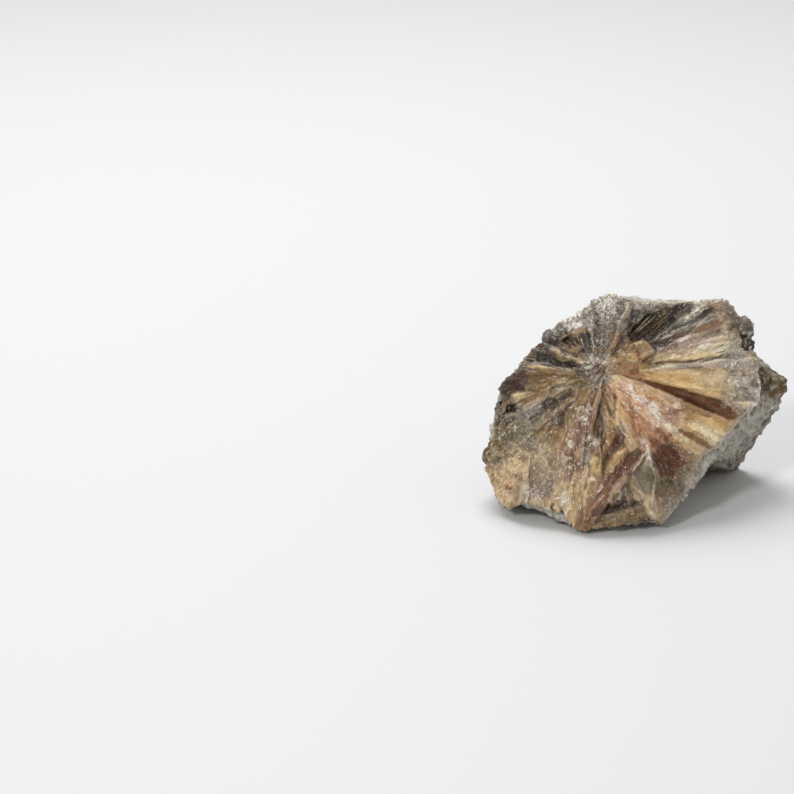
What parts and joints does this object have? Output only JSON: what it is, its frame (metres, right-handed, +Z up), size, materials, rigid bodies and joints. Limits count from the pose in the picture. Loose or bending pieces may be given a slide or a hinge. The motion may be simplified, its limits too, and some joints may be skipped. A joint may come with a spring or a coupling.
{
  "type": "daisy gypsum specimen",
  "caption": "Broken hand specimen of brown gypsum: blades radiate from one heart across a domed face over a pale granular chunk.",
  "frame": {"origin": "under the middle of the specimen, on the plane it rests on", "axes": "+Z up, +X along the longest side, the rosette faces -Y and leans back"},
  "size_m": [0.061, 0.0473, 0.0403],
  "materials": {
    "gypsum": "translucent honey to umber gypsum with a silky cleavage lustre, over grey-white granular matrix"
  },
  "bodies": {
    "root": {"daisy_gypsum": "gypsum"}
  },
  "joints": []
}
